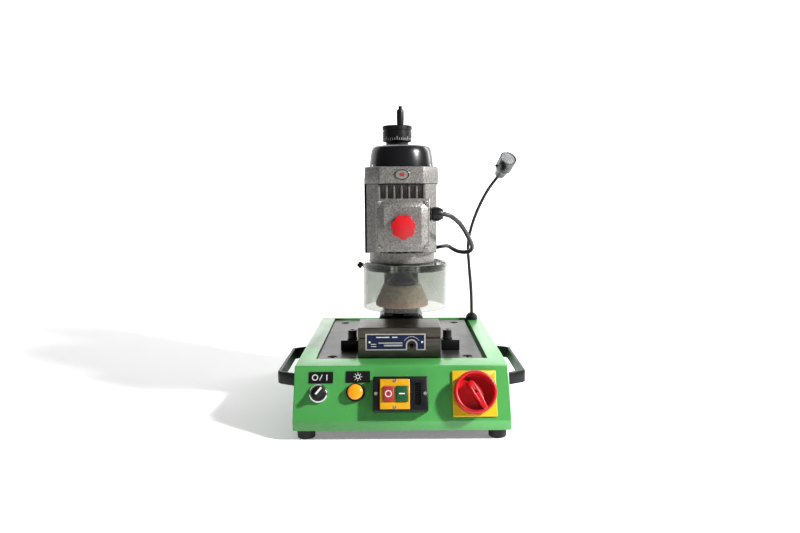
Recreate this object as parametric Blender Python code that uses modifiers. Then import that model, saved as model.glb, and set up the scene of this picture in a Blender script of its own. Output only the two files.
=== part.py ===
"""Bench faceting machine: a vertical cup-wheel head on a hand-fed slide above a magnetic chuck.

Machine frame while building: X to the right from the middle of the housing, Y to the back from the
housing's top front edge, Z up from the floor, all in millimetres. The root empty turns that into the
row frame, whose origin is the middle of the footprint on the floor.
"""

import math

import bmesh
import bpy
from mathutils import Matrix, Vector

MM = 0.001
GAP = 0.3                 # air left between touching pieces
CENTRE = (14.0, 161.5)    # middle of the footprint in the machine frame

# housing
HOUSE_W, HOUSE_D = 310.0, 370.0
HOUSE_TOP, HOUSE_FLOOR = 101.0, 15.0
CREASE_Y, CREASE_Z = -34.0, 29.5
SHEET = 2.0
TRAY_X, TRAY_Y = (-129.5, 129.5), (40.5, 361.0)
TRAY_LEDGE = 85.7
FOOT_X, FOOT_Y, FOOT_R = 138.0, (-13.0, 340.0), 13.2

# base plate and chuck
PLATE_X, PLATE_Y, PLATE_Z = (-129.0, 124.0), (41.0, 356.0), (86.0, 98.0)
BOLT_MID, BOLT_SPAN = (-2.5, 197.0), (208.0, 264.0)
CHUCK_X, CHUCK_Y = (-65.5, 59.5), (44.0, 116.0)
CHUCK_SEAM, CHUCK_TOP = 131.2, 147.3
CAM_X, CAM_Z, CAM_THROW = 15.5, 121.0, 3.0
CLAMPS = {"left": (-96.8, -68.0, -78.8), "right": (64.5, 93.0, 74.0)}
CLAMP_Y = (104.0, 128.0)

# column, slide and feed
COLUMN_W, COLUMN_Y = 61.0, (212.3, 262.3)
COLUMN_TOP = 413.7
RAIL_W, RAIL_Y = 60.0, (184.6, 212.0)
SCREW_X, SCREW_Y, SCREW_R = -5.0, 197.0, 4.0
DIAL_R, DIAL_Z = 24.5, (431.3, 459.0)
CRANK_X, CRANK_Y = 0.3, 183.0
CARRIAGE_W, CARRIAGE_Y, CARRIAGE_Z = 120.0, (172.4, 184.2), (248.0, 373.0)

# motor, wheel and guard
MOTOR_X, MOTOR_Y = 1.5, 112.0
BODY_HALF, BODY_CORNER, BODY_Z = 53.0, 17.0, (259.0, 362.0)
FIN_T, FIN_PITCH, FIN_DEEP, FIN_COUNT = 2.6, 11.2, 9.0, 7
BAND_HALF, BAND_CORNER, BAND_Z = 56.0, 23.0, (362.3, 388.0)
COWL_R, COWL_Z = 50.0, (388.3, 421.0)
FLANGE_R, FLANGE_Z = 51.5, (240.0, 258.7)
TERMINAL_X, TERMINAL_Y, TERMINAL_Z = (-36.1, 42.0), (14.3, 58.7), (264.0, 341.0)
COVER_T, COVER_RISE, COVER_FACE = 4.0, 5.5, 27.0
GLAND_Y, GLAND_Z = 36.0, 318.0
STAR_X, STAR_Z = 3.7, 301.0
WHEEL_R, WHEEL_Z = (41.6, 29.4), (171.0, 204.0)
GUARD_X, GUARD_R, GUARD_WALL, GUARD_Z = 6.5, 66.5, 3.0, (169.0, 240.0)

# motor lead and lamp
LEAD_R = 3.5
LEAD_BORE = LEAD_R + 0.6
LEAD_HOLE_Z = 250.0
LEAD_ROUTE = [
    (44, 36, 318), (53, 36, 318), (62, 36.1, 318), (71.6, 39.3, 315.6), (80.3, 46, 310),
    (88.6, 56, 302.6), (97.4, 70, 290.7), (105, 84, 278.2), (110.5, 98, 268.5), (112.5, 110, 261.5),
    (110.5, 122, 255.8), (103.7, 134, 252.5), (94.5, 150, 252.2), (87, 168, 254.5), (83, 182, 256.5),
    (80.4, 196, 257), (77, 209, 256.2), (72.3, 221.6, 254.4), (67.6, 229.5, 252.8), (60.9, 235.7, 251.4),
    (52.6, 239.6, 250.3), (43.6, 241, 250), (34, 241, 250),
]
LAMP_X, LAMP_Y = 137.0, 345.0
NECK_R = 3.2
NECK_ROUTE = [
    (137, 345, 105), (137, 345, 119), (135.7, 345, 158), (131.5, 345, 207), (129.4, 345, 236),
    (130.4, 345, 255), (134, 345, 274.6), (142.4, 345, 301.3), (151.8, 345, 323.2), (163, 345, 345),
    (173, 343.5, 360.5), (180.2, 340, 370.5), (184.8, 334.5, 377.3), (187.5, 328.5, 382),
]
LAMP_AIM = (0.243, -0.733, 0.635)
BALL_R = 5.5
HEAD_R, HEAD_LENGTH = 15.5, 42.0

# control panel, as (X, distance down the slope)
SELECTOR_AT = (-118.9, 40.4)
AMBER_AT = (-66.1, 39.1)
SWITCH_AT, SWITCH_SIZE = (-1.8, 43.0), (78.0, 49.0, 17.0)
FRAME_AT, FRAME_SIZE = (-9.7, 43.9), 42.0
BUTTONS = {"red": (-18.6, 15.3, 21.0), "green": (0.2, 16.6, 21.6)}
ISOLATOR_AT, ISOLATOR_SIZE = (103.8, 41.2), (63.0, 65.5)
ISOLATOR_R = 30.2

# handles
HANDLE_OUT, HANDLE_Z = 185.0, (67.0, 85.5)
HANDLE_T = 5.0


def clear_scene():
    for obj in list(bpy.data.objects):
        bpy.data.objects.remove(obj, do_unlink=True)


def collection(name, hidden=False):
    made = bpy.data.collections.new(name)
    bpy.context.scene.collection.children.link(made)
    made.hide_render = hidden
    return made


def material(name, colour, rough, metal=0.0, alpha=1.0):
    made = bpy.data.materials.new(name)
    made.use_nodes = True
    shader = made.node_tree.nodes["Principled BSDF"]
    shader.inputs["Base Color"].default_value = (*colour, 1.0)
    shader.inputs["Roughness"].default_value = rough
    shader.inputs["Metallic"].default_value = metal
    shader.inputs["Alpha"].default_value = alpha
    return made


def empty(name, at=(0, 0, 0), turn=(0, 0, 0), parent=None):
    made = bpy.data.objects.new(name, None)
    PARTS.objects.link(made)
    made.parent = parent
    made.location = Vector(at) * MM
    made.rotation_euler = turn
    return made


def add(name, mesh, at=(0, 0, 0), turn=(0, 0, 0), look=None, parent=None, cutter=False):
    """An object from a mesh that is already in metres about its own origin."""
    made = bpy.data.objects.new(name, mesh)
    (CUTTERS if cutter else PARTS).objects.link(made)
    made.parent = parent or ROOT
    made.location = Vector(at) * MM
    made.rotation_euler = turn
    if look:
        mesh.materials.append(look)
    if cutter:
        made.hide_render = True
        made.display_type = "WIRE"
    return made


def mesh_of(bm, name):
    mesh = bpy.data.meshes.new(name)
    bmesh.ops.recalc_face_normals(bm, faces=bm.faces)
    bm.to_mesh(mesh)
    bm.free()
    return mesh


def box(name, low, high, **where):
    """A block between two corners, in millimetres in its parent's frame, with its origin in the middle."""
    low, high = Vector(low), Vector(high)
    bm = bmesh.new()
    bmesh.ops.create_cube(bm, size=1.0, matrix=Matrix.Diagonal((high - low) * MM).to_4x4())
    return add(name, mesh_of(bm, name), at=(low + high) / 2, **where)


def turned(name, profile, at=(0, 0, 0), steps=32, **where):
    """A turned solid about its own Z: the closed profile is (radius, height) points in millimetres."""
    bm = bmesh.new()
    rings = []
    for radius, height in profile:
        if radius < 1e-6:
            rings.append([bm.verts.new((0, 0, height * MM))])
            continue
        circle = regular(steps, radius)
        rings.append([bm.verts.new((x * MM, y * MM, height * MM)) for x, y in circle])
    for one, two in zip(rings, rings[1:] + rings[:1]):
        for i in range(steps):
            j = (i + 1) % steps
            if len(one) == 1 and len(two) == 1:
                break
            if len(one) == 1:
                bm.faces.new((one[0], two[i], two[j]))
            elif len(two) == 1:
                bm.faces.new((one[i], two[0], one[j]))
            else:
                bm.faces.new((one[i], two[i], two[j], one[j]))
    return add(name, mesh_of(bm, name), at=at, **where)


def disc(name, radius, low, high, at=(0, 0, 0), **where):
    return turned(name, [(0, low), (radius, low), (radius, high), (0, high)], at=at, **where)


def slab(name, outline, low, high, top_outline=None, **where):
    """An outline of (x, y) points in millimetres, raised along Z to a top outline, or to its own copy."""
    bm = bmesh.new()
    bottom = [bm.verts.new((x * MM, y * MM, low * MM)) for x, y in outline]
    top = [bm.verts.new((x * MM, y * MM, high * MM)) for x, y in top_outline or outline]
    bm.faces.new(bottom[::-1])
    bm.faces.new(top)
    for i in range(len(outline)):
        j = (i + 1) % len(outline)
        bm.faces.new((bottom[i], bottom[j], top[j], top[i]))
    return add(name, mesh_of(bm, name), **where)


def cut(obj, *cutters, operation="DIFFERENCE"):
    for cutter in cutters:
        step = obj.modifiers.new(cutter.name, "BOOLEAN")
        step.operation = operation
        step.solver = "EXACT"
        step.object = cutter
    return obj


def join(obj, *others):
    return cut(obj, *others, operation="UNION")


def bevel(obj, width, segments=2, angle=40):
    step = obj.modifiers.new("edges", "BEVEL")
    step.width = width * MM
    step.segments = segments
    step.limit_method = "ANGLE"
    step.angle_limit = math.radians(angle)
    return obj


def regular(count, radius, phase=0.0):
    angles = [phase + 2 * math.pi * i / count for i in range(count)]
    return [(radius * math.cos(a), radius * math.sin(a)) for a in angles]


def cut_square(half, corner):
    """A square of the given half width with its corners cut off."""
    h, c = half, corner
    return [(-h + c, -h), (h - c, -h), (h, -h + c), (h, h - c),
            (h - c, h), (-h + c, h), (-h, h - c), (-h, -h + c)]


def smooth_route(points, step):
    """Points about step apart along a smooth curve through the route points."""
    pts = [Vector(p) for p in points]
    ends = [pts[0] * 2 - pts[1]] + pts + [pts[-1] * 2 - pts[-2]]
    fine = []
    for a, b, c, d in zip(ends, ends[1:], ends[2:], ends[3:]):
        for i in range(24):
            t = i / 24
            fine.append(0.5 * (2 * b + (c - a) * t + (2 * a - 5 * b + 4 * c - d) * t * t
                               + (3 * b - a - 3 * c + d) * t ** 3))
    fine.append(pts[-1])
    out, run = [fine[0]], 0.0
    for one, two in zip(fine, fine[1:]):
        run += (two - one).length
        if run >= step:
            out.append(two)
            run = 0.0
    if (out[-1] - fine[-1]).length < step / 2:
        out.pop()
    return out + [fine[-1]]


def tube(name, points, radius, look, parent=None, offset=(0, 0, 0)):
    """A round tube along points in millimetres, as a closed mesh."""
    curve = bpy.data.curves.new(name, "CURVE")
    curve.dimensions = "3D"
    curve.bevel_depth = radius * MM
    curve.bevel_resolution = 2
    curve.use_fill_caps = True
    line = curve.splines.new("POLY")
    line.points.add(len(points) - 1)
    for spot, point in zip(line.points, points):
        spot.co = (*((Vector(point) - Vector(offset)) * MM), 1.0)
    maker = bpy.data.objects.new(name + "_line", curve)
    mesh = bpy.data.meshes.new_from_object(maker)
    bpy.data.objects.remove(maker)
    bm = bmesh.new()
    bm.from_mesh(mesh)
    bmesh.ops.remove_doubles(bm, verts=bm.verts, dist=1e-6)
    bpy.data.meshes.remove(mesh)
    return add(name, mesh_of(bm, name), at=offset, look=look, parent=parent)


clear_scene()
PARTS = collection("faceting_machine")
CUTTERS = collection("cutters", hidden=True)
ROOT = empty("machine_frame", (-CENTRE[0], -CENTRE[1], 0))

GREEN = material("green_coat", (0.09, 0.42, 0.10), 0.35)
STEEL = material("ground_steel", (0.36, 0.36, 0.36), 0.35, 1.0)
DARK_STEEL = material("dark_steel", (0.06, 0.055, 0.05), 0.45, 1.0)
BLACK_COAT = material("black_coat", (0.02, 0.02, 0.022), 0.4)
RUBBER = material("rubber", (0.02, 0.02, 0.02), 0.8)
BLACK = material("black_plastic", (0.015, 0.015, 0.017), 0.4)
GLOSS = material("gloss_black", (0.012, 0.012, 0.014), 0.15)
YELLOW = material("yellow_plastic", (0.85, 0.62, 0.02), 0.4)
RED = material("red_plastic", (0.70, 0.02, 0.03), 0.3)
GREEN_KEY = material("green_plastic", (0.01, 0.25, 0.12), 0.4)
AMBER = material("amber_lens", (0.95, 0.42, 0.02), 0.2)
CHROME = material("chrome", (0.75, 0.75, 0.76), 0.12, 1.0)
SILVER = material("silver_paint", (0.42, 0.42, 0.42), 0.4, 0.6)
BLUE = material("blue_label", (0.02, 0.05, 0.28), 0.4)
CREAM = material("wheel_abrasive", (0.80, 0.72, 0.66), 0.9)
CLEAR = material("clear_plastic", (0.85, 0.87, 0.88), 0.08, 0.0, 0.3)
BRONZE = material("bronze", (0.50, 0.30, 0.12), 0.4, 1.0)
MAGNET = material("magnet", (0.10, 0.10, 0.11), 0.6, 0.5)
LENS = material("lamp_lens", (0.92, 0.94, 0.96), 0.15, 0.0, 0.5)

# ---------------------------------------------------------------- housing
half = HOUSE_W / 2
side = [(0, HOUSE_TOP), (CREASE_Y, CREASE_Z), (CREASE_Y, HOUSE_FLOOR), (HOUSE_D, HOUSE_FLOOR),
        (HOUSE_D, HOUSE_TOP)]
ACROSS = (math.pi / 2, 0, math.pi / 2)    # lays an outline in the Y-Z plane and raises it along X


def across(name, outline, low, high, **where):
    return slab(name, outline, low, high, turn=ACROSS, **where)


housing = bevel(across("housing", side, -half, half, look=GREEN), 1.6, 2)
slope = Vector((CREASE_Y, CREASE_Z - HOUSE_TOP))
run = slope.length
inward = SHEET * run / abs(slope.y)
inner = [
    (inward - SHEET * CREASE_Y / (CREASE_Z - HOUSE_TOP), HOUSE_TOP - SHEET),
    (CREASE_Y + inward, CREASE_Z), (CREASE_Y + SHEET, CREASE_Z - 1), (CREASE_Y + SHEET, HOUSE_FLOOR - 5),
    (HOUSE_D - SHEET, HOUSE_FLOOR - 5), (HOUSE_D - SHEET, HOUSE_TOP - SHEET),
]
hollow = across("housing_hollow", inner, -half + SHEET, half - SHEET, cutter=True)
tray = box("tray_shell", (TRAY_X[0] - SHEET, TRAY_Y[0] - SHEET, TRAY_LEDGE - 1.7),
           (TRAY_X[1] + SHEET, TRAY_Y[1] + SHEET, HOUSE_TOP + 5), cutter=True)
cut(hollow, tray)
tray_room = box("tray_room", (TRAY_X[0], TRAY_Y[0], TRAY_LEDGE), (TRAY_X[1], TRAY_Y[1], HOUSE_TOP + 5),
                cutter=True)
window = box("tray_window", (TRAY_X[0] + 36, TRAY_Y[0] + 36, TRAY_LEDGE - 5),
             (TRAY_X[1] - 36, TRAY_Y[1] - 36, TRAY_LEDGE + 5), cutter=True)
cut(housing, hollow, tray_room, window)

bottom_cover = bevel(box("bottom_cover", (-half + SHEET + GAP, CREASE_Y + SHEET + GAP, HOUSE_FLOOR),
                         (half - SHEET - GAP, HOUSE_D - SHEET - GAP, HOUSE_FLOOR + 2), look=GREEN), 0.4, 1)
for tag, x, y in (("fl", -1, 0), ("fr", 1, 0), ("rl", -1, 1), ("rr", 1, 1)):
    turned("foot_" + tag, [(0, 0), (FOOT_R - 1.5, 0), (FOOT_R - 0.4, 1.2), (FOOT_R, 13.2),
                           (FOOT_R - 1.5, 14.7), (0, 14.7)], at=(x * FOOT_X, FOOT_Y[y], 0), look=RUBBER)

for tag, s in (("left", -1), ("right", 1)):
    near, out, t = half + GAP, HANDLE_OUT, HANDLE_T
    path = [(near, 12), (out - 4, 26), (out, 31), (out, 176), (out - 4, 181), (near, 195),
            (near, 195 - 5.6), (out - 4 - t + 2.4, 176.6), (out - t, 173.6), (out - t, 33.4),
            (out - 4 - t + 2.4, 30.4), (near, 12 + 5.6)]
    shape = [(s * x, y) for x, y in path]
    bevel(slab("handle_" + tag, shape if s > 0 else shape[::-1], *HANDLE_Z, look=BLACK_COAT), 0.8, 2, 50)

# rear mains inlet
inlet_hole = box("inlet_hole", (-109, HOUSE_D - 6, 44), (-81, HOUSE_D + 4, 66), cutter=True)
cut(housing, inlet_hole)
inlet = bevel(box("power_inlet", (-120, HOUSE_D + GAP, 40), (-70, HOUSE_D + 3.3, 70), look=BLACK), 0.8, 2)
cut(join(inlet, box("inlet_body", (-108.6, HOUSE_D - 24, 44.4), (-81.4, HOUSE_D + 1, 65.6), cutter=True)),
    box("inlet_socket", (-106.5, HOUSE_D - 16, 47), (-83.5, HOUSE_D + 6, 63), cutter=True))

# ---------------------------------------------------------------- base plate and chuck
plate = bevel(box("base_plate", (PLATE_X[0], PLATE_Y[0], PLATE_Z[0]), (PLATE_X[1], PLATE_Y[1], PLATE_Z[1]),
                  look=STEEL), 0.8, 1)
for i, (x, y) in enumerate([(-1, -1), (1, -1), (-1, 1), (1, 1)]):
    at = (BOLT_MID[0] + x * BOLT_SPAN[0] / 2, BOLT_MID[1] + y * BOLT_SPAN[1] / 2, 0)
    profile = [(0, 80), (4.6, 80), (4.6, 89.4), (7.6, 89.4), (7.6, 102), (0, 102)]
    cut(plate, turned(f"bolt_hole_{i}", profile, at=at, cutter=True))

cx, cy = CHUCK_X, CHUCK_Y
FACING = (math.pi / 2, 0, 0)              # turns a solid's own Z to the machine's front
cam_at = (CAM_X, 74, CAM_Z)
lobe_x = CAM_X - CAM_THROW
chuck = bevel(box("chuck_base", (cx[0], cy[0], 98.3), (cx[1], cy[1], CHUCK_SEAM), look=DARK_STEEL), 0.8, 1)
cut(chuck,
    box("pack_room", (-61, 54, 106), (55, 110, 140), cutter=True),
    disc("cam_bore", 6.0, -40, 30, at=cam_at, turn=FACING, cutter=True))
bevel(box("chuck_top", (cx[0], cy[0], CHUCK_SEAM + GAP), (cx[1], cy[1], CHUCK_TOP), look=DARK_STEEL), 0.8, 1)
pack = box("magnet_pack", (-58.5, 58, 106.4), (45.5, 108, 130.8), look=MAGNET)
cut(pack, box("cam_slot", (lobe_x - 5.8, 50, 112.5), (lobe_x + 5.8, 114, 140), cutter=True))
cam = disc("chuck_cam", 5.9, 16.4, 29.6, at=cam_at, turn=FACING, look=BLACK_COAT)
join(cam, disc("cam_lobe", 5.0, -33, 18, at=(lobe_x, 74, CAM_Z), turn=FACING, steps=24, cutter=True))
cut(cam, slab("key_socket", regular(6, 3.5), 20, 40, at=cam_at, turn=FACING, cutter=True))

for tag, (low, high, mid) in CLAMPS.items():
    block = box("clamp_" + tag, (low, CLAMP_Y[0], 98.3), (high, CLAMP_Y[1], 114.5), look=BLACK_COAT)
    bevel(block, 1.0, 2)
    at = (mid, sum(CLAMP_Y) / 2, 0)
    cut(block, disc("clamp_bore_" + tag, 4.4, 90, 120, at=at, cutter=True))
    screw = turned("clamp_screw_" + tag,
                   [(0, 99), (4.0, 99), (4.0, 114.8), (8.2, 114.8), (8.2, 117), (7.2, 117.3), (7.2, 128.7),
                    (6.4, 129.5), (0, 129.5)], at=at, look=BLACK_COAT)
    cut(screw, slab("clamp_hex_" + tag, regular(6, 3.4), 123, 140, at=at, cutter=True))

# ---------------------------------------------------------------- column, rail and feed
pedestal = box("column_base", (-38, 204.5, 98.3), (38, 290, 138), look=BLACK_COAT)
bevel(pedestal, 6.0, 1, 80)
column = bevel(box("column", (-COLUMN_W / 2, COLUMN_Y[0], 138.3), (COLUMN_W / 2, COLUMN_Y[1], COLUMN_TOP),
                   look=BLACK_COAT), 1.5, 2)
cut(column, box("column_hollow", (-COLUMN_W / 2 + 5, COLUMN_Y[0] + 5, 120),
                (COLUMN_W / 2 - 5, COLUMN_Y[1] - 5, COLUMN_TOP + 10), cutter=True),
    disc("lead_hole", 6.2, -20, 20, at=(COLUMN_W / 2, 241, LEAD_HOLE_Z), turn=(0, math.pi / 2, 0),
         cutter=True))
rail = box("slide_rail", (-RAIL_W / 2, RAIL_Y[0], 138.3), (RAIL_W / 2, RAIL_Y[1], COLUMN_TOP), look=STEEL)
bevel(rail, 0.8, 1)
cut(rail, box("screw_channel", (SCREW_X - 10, RAIL_Y[0] - 5, 130), (SCREW_X + 10, 206, COLUMN_TOP + 5),
              cutter=True))
bearing = bevel(box("top_bearing", (-30, 185, COLUMN_TOP + GAP), (30, 262, 427), look=BLACK_COAT), 1.5, 2)
join(bearing, disc("bearing_boss", 19.0, 420, 430.9, at=(SCREW_X, SCREW_Y, 0), cutter=True))
cut(bearing, disc("bearing_bore", SCREW_R + 0.08, 400, 440, at=(SCREW_X, SCREW_Y, 0), cutter=True))

turned("lead_gland", [(LEAD_BORE, -14), (5.9, -14), (5.9, 0.3), (9.5, 0.3), (9.5, 6), (8.2, 7), (8.2, 12),
                      (6.5, 14), (LEAD_BORE, 14)],
       at=(COLUMN_W / 2, 241, LEAD_HOLE_Z), turn=(0, math.pi / 2, 0), steps=24, look=BLACK)

handwheel = empty("handwheel_axis", (SCREW_X, SCREW_Y, 0), parent=ROOT)
r, (z0, z1) = DIAL_R, DIAL_Z
turned("feed_dial", [(SCREW_R + 0.2, z0), (18, z0), (r - 1.5, z0 + 1), (r, z0 + 2.5), (r, z0 + 18),
                     (r - 1.2, z0 + 18.6), (r - 1.2, z0 + 20), (r, z0 + 20.6), (r, z1 - 1), (r - 1.2, z1),
                     (0, z1), (0, 452.3), (SCREW_R + 0.2, 452.3)], look=BLACK_COAT, parent=handwheel)
disc("leadscrew", SCREW_R, 141, 451.7, steps=24, look=STEEL, parent=handwheel)
crank = empty("crank_axis", (CRANK_X - SCREW_X, CRANK_Y - SCREW_Y, 0), parent=handwheel)
turned("crank_grip", [(0, z1 + GAP), (5.2, z1 + GAP), (5.8, 461), (6.2, 468), (6.2, 480), (5.6, 483.5),
                      (4.6, 484.5), (3.2, 484.6), (3.2, 489.2), (2.6, 490), (0, 490)],
       look=BLACK_COAT, parent=crank)

# ---------------------------------------------------------------- carriage and motor
w = CARRIAGE_W / 2
y0, y1 = CARRIAGE_Y
gib = RAIL_W / 2 + GAP
carriage = slab("carriage_plate", [(-w, y0), (w, y0), (w, y1), (46, y1), (46, 206), (gib, 206), (gib, y1),
                                   (-gib, y1), (-gib, 206), (-46, 206), (-46, y1), (-w, y1)],
                *CARRIAGE_Z, look=BLACK_COAT)
bevel(carriage, 1.0, 2, 50)
nut = box("feed_nut", (SCREW_X - 9.5, y1 + GAP, 296), (SCREW_X + 9.5, 205, 328), look=BRONZE)
cut(nut, disc("nut_bore", SCREW_R + 0.08, 280, 340, at=(SCREW_X, SCREW_Y, 0), steps=24, cutter=True))

motor = empty("motor_axis", (MOTOR_X, MOTOR_Y, 0), parent=ROOT)
b, corner = BODY_HALF, BODY_CORNER


def finned_side():
    """The front of the body's outline, from left to right, with grooves between its fins."""
    points = [(-b + corner, -b)]
    for i in range(FIN_COUNT - 1):
        low = (i - (FIN_COUNT - 1) / 2) * FIN_PITCH + FIN_T / 2
        high = low + FIN_PITCH - FIN_T
        points += [(low, -b), (low + 0.8, -b + FIN_DEEP), (high - 0.8, -b + FIN_DEEP), (high, -b)]
    return points + [(b - corner, -b)]


def quarter(points, turns):
    c, s = [(1, 0), (0, 1), (-1, 0), (0, -1)][turns]
    return [(c * x - s * y, s * x + c * y) for x, y in points]


plain = [(-b + corner, -b), (b - corner, -b)]
pad = CARRIAGE_Y[0] - MOTOR_Y - GAP
back = [(b - corner, b), (30, b), (30, pad), (-30, pad), (-30, b), (-b + corner, b)]
outline = finned_side() + quarter(plain, 1) + back + quarter(plain, 3)
body = slab("motor_body", outline, *BODY_Z, look=SILVER, parent=motor)
cut(body, disc("stator_bore", 31.0, 240, 380, parent=motor, cutter=True))

band = slab("end_shield", cut_square(BAND_HALF, BAND_CORNER), *BAND_Z, look=SILVER, parent=motor)
bevel(band, 1.8, 2, 30)
cut(band, disc("shaft_bore_top", 9.0, 350, 400, parent=motor, cutter=True))
r0, (z0, z1) = COWL_R, COWL_Z
turned("fan_cowl", [(r0 - 2, z0), (r0, z0), (r0 - 1.5, z0 + 14), (r0 - 3.5, z1 - 8), (r0 - 6, z1 - 2.5),
                    (r0 - 10, z1), (20, z1), (20, z1 - 2), (r0 - 11, z1 - 2), (r0 - 8, z1 - 4),
                    (r0 - 5.5, z1 - 9), (r0 - 3.5, z0 + 14)], look=GLOSS, parent=motor, steps=40)
f, (z0, z1) = FLANGE_R, FLANGE_Z
turned("motor_flange", [(13, z0), (f - 2, z0), (f, z0 + 2), (f, z1 - 1), (f - 1, z1), (13, z1)],
       look=SILVER, parent=motor)
turned("rotor_shaft", [(0, 190), (7, 190), (7, 262), (10, 262), (10, 272), (29.5, 272), (29.5, 348),
                       (10, 348), (10, 358), (7, 358), (7, 412), (0, 412)], look=STEEL, parent=motor)
blades = turned("cooling_fan", [(7.3, 392), (40, 392), (40, 394.5), (12, 394.5), (12, 408), (7.3, 408)],
                look=BLACK, parent=motor, steps=24)
for i in range(7):
    around = empty(f"blade_turn_{i}", turn=(0, 0, 2 * math.pi * i / 7), parent=motor)
    join(blades, box(f"blade_{i}", (10, -1, 393), (39, 1, 407), parent=around, cutter=True))

tx, ty, tz = TERMINAL_X, TERMINAL_Y, TERMINAL_Z
seam = ty[0] + COVER_RISE + COVER_T
terminal = box("terminal_box", (tx[0] + 1.5, seam + GAP, tz[0] + 1.5), (tx[1] - 1.5, ty[1], tz[1] - 1.5),
               look=SILVER)
bevel(terminal, 3.0, 2)
cut(terminal,
    box("terminal_room", (tx[0] + 7, ty[0] - 2, tz[0] + 7), (tx[1] - 7, ty[1] - 6, tz[1] - 7), cutter=True),
    disc("gland_hole", 8.2, -12, 12, at=(tx[1], GLAND_Y, GLAND_Z), turn=(0, math.pi / 2, 0), cutter=True))
middle = (sum(tx) / 2, ty[0], sum(tz) / 2)
wide = (tx[1] - tx[0]) / 2
cover = box("terminal_cover", (tx[0], ty[0] + COVER_RISE, tz[0]), (tx[1], seam, tz[1]), look=SILVER)
bevel(cover, 1.5, 2)
join(cover, slab("cover_rise", cut_square(wide - 1, 13), -COVER_RISE - 1, 0, cut_square(COVER_FACE, 1.5),
                 at=middle, turn=FACING, cutter=True))
cut(cover, disc("star_hole", 4.2, -20, 20, at=(STAR_X, ty[0], STAR_Z), turn=FACING, steps=24, cutter=True))

star = empty("star_axis", (STAR_X, ty[0], STAR_Z), FACING, parent=ROOT)
lobes = []
for i in range(56):
    a = 2 * math.pi * i / 56
    reach = 15.0 + 2.8 * abs(math.cos(3.5 * (a + math.pi / 2))) ** 0.7
    lobes.append((reach * math.cos(a), reach * math.sin(a)))
knob = bevel(slab("star_knob", lobes, GAP, 12, look=RED, parent=star), 1.6, 2, 50)
join(knob, disc("star_stem", 3.9, -14, 4, parent=star, steps=24, cutter=True))

turned("cable_gland", [(LEAD_BORE, -10), (7.9, -10), (7.9, -1.2), (10.6, -1.2), (10.6, 2), (9, 2.6), (9, 4),
                       (10.3, 5), (10.3, 14.5), (7, 20), (LEAD_BORE, 20)],
       at=(tx[1], GLAND_Y, GLAND_Z), turn=(0, math.pi / 2, 0), steps=24, look=BLACK)

# ---------------------------------------------------------------- wheel and guard
(rb, rt), (z0, z1) = WHEEL_R, WHEEL_Z
turned("grinding_wheel", [(rb - 17, z0), (rb - 1, z0), (rb, z0 + 1), (rb - 0.6, z0 + 8), (rt, z1),
                          (11.3, z1), (11.3, z1 - 13), (rb - 21, z1 - 13)],
       look=CREAM, parent=motor, steps=48)
turned("wheel_hub", [(7.2, 190), (11, 190), (11, z1 + 0.2), (23, z1 + 0.2), (23, z1 + 6), (15, z1 + 12),
                     (15, 226), (7.2, 226)], look=DARK_STEEL, parent=motor)
turned("wheel_nut", [(0, 177), (8, 177), (18.5, 180), (18.5, 189.6), (0, 189.6)],
       look=DARK_STEEL, parent=motor)
sleeve = empty("guard_axis", (GUARD_X, MOTOR_Y, 0), parent=ROOT)
g, t, (z0, z1) = GUARD_R, GUARD_WALL, GUARD_Z
turned("guard_collar", [(16, 229), (g - t - 0.4, 229), (g - t - 0.4, 239.7), (16, 239.7)],
       look=CLEAR, parent=sleeve)
guard = turned("guard_cylinder", [(g - t, z0), (g, z0), (g, z1 - 6.5), (g + 1.8, z1 - 6), (g + 1.8, z1),
                                  (g - t, z1)], look=CLEAR, parent=sleeve, steps=56)
SCREW_AT = (GUARD_X - g, MOTOR_Y, z1 - 5)
OUTWARD = (0, -math.pi / 2, 0)            # turns a solid's own Z to the machine's left
cut(guard, disc("thumb_hole", 2.9, -10, 12, at=SCREW_AT, turn=OUTWARD, steps=16, cutter=True))
turned("guard_screw", [(0, -2.9), (2.5, -2.9), (2.5, 2.1), (4.8, 2.1), (5.2, 2.6), (5.2, 6.4), (4.4, 7.4),
                       (2.4, 7.8), (2.2, 9.4), (0, 9.4)],
       at=SCREW_AT, turn=OUTWARD, steps=24, look=BLACK)

tube("motor_lead", smooth_route(LEAD_ROUTE, 9.0), LEAD_R, BLACK)

# ---------------------------------------------------------------- control panel
slope_up = math.atan2(HOUSE_TOP - CREASE_Z, -CREASE_Y)
panel = empty("panel", (0, 0, HOUSE_TOP), (slope_up, 0, 0), parent=ROOT)


def on_panel(at, lift=0.0):
    return (at[0], -at[1], lift)


for tag, at, radius in (("selector", SELECTOR_AT, 11.1), ("amber", AMBER_AT, 11.1),
                        ("isolator", ISOLATOR_AT, 7.0)):
    cut(housing, disc("panel_hole_" + tag, radius, -12, 12, at=on_panel(at), parent=panel, cutter=True))

turned("selector_bezel", [(6.3, -20), (10.8, -20), (10.8, GAP), (13.2, GAP), (13.2, 4), (11.5, 5.6),
                          (10, 5.6), (10, 3), (6.3, 3)], at=on_panel(SELECTOR_AT), parent=panel, look=CHROME)
knob = empty("selector_axis", on_panel(SELECTOR_AT), (0, 0, math.radians(-40)), parent=panel)
handle = turned("selector_knob", [(0, -22), (6, -22), (6, 3.4), (9.6, 3.4), (9.6, 8), (9, 9), (0, 9)],
                parent=knob, look=BLACK)
join(handle, bevel(box("selector_bar", (-3.2, -9.2, 4), (3.2, 9.2, 17), parent=knob, cutter=True), 1.0, 2))

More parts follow.
